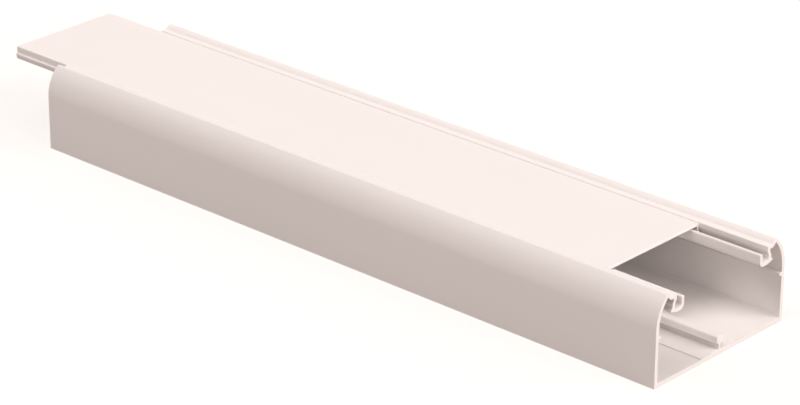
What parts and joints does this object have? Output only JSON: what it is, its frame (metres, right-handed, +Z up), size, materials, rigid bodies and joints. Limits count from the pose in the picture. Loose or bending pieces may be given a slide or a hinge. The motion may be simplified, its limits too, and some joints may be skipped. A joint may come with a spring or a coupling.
{
  "type": "cord cover raceway",
  "caption": "Plastic installation trunking: an extruded channel with a T rail inside and a snap-in cover pushed part way along it.",
  "frame": {"origin": "centre of the base channel's underside, midway along its length", "axes": "+X along the extrusion towards the open end, +Y across it, +Z up out of the back face"},
  "size_m": [0.555, 0.12, 0.056],
  "materials": {
    "base_pvc": "satin",
    "cover_pvc": "satin"
  },
  "bodies": {
    "root": {"base_channel": "base_pvc", "snap_cover": "cover_pvc"}
  },
  "joints": []
}
